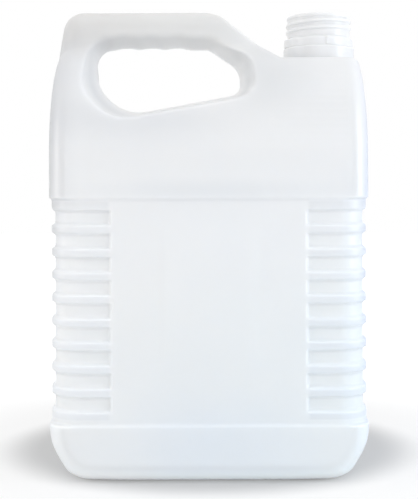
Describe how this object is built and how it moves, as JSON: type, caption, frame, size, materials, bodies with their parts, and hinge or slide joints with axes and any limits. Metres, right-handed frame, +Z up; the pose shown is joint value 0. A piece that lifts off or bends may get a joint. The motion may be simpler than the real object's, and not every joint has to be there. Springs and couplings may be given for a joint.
{
  "type": "plastic jug",
  "caption": "One-piece blow-moulded plastic jug with a built-in handle over a through eye, an open threaded neck at the far shoulder, a sunken label zone and ribbed sides.",
  "frame": {"origin": "on the standing surface, under the middle of the body's width and depth", "axes": "+X along the wide face from the handle towards the neck, -Y the way the front face looks, +Z up"},
  "size_m": [0.1904, 0.125, 0.2866],
  "materials": {
    "milky_plastic": "natural high-density polyethylene, milky and translucent, satin as moulded"
  },
  "bodies": {
    "root": {"jug": "milky_plastic"}
  },
  "joints": []
}
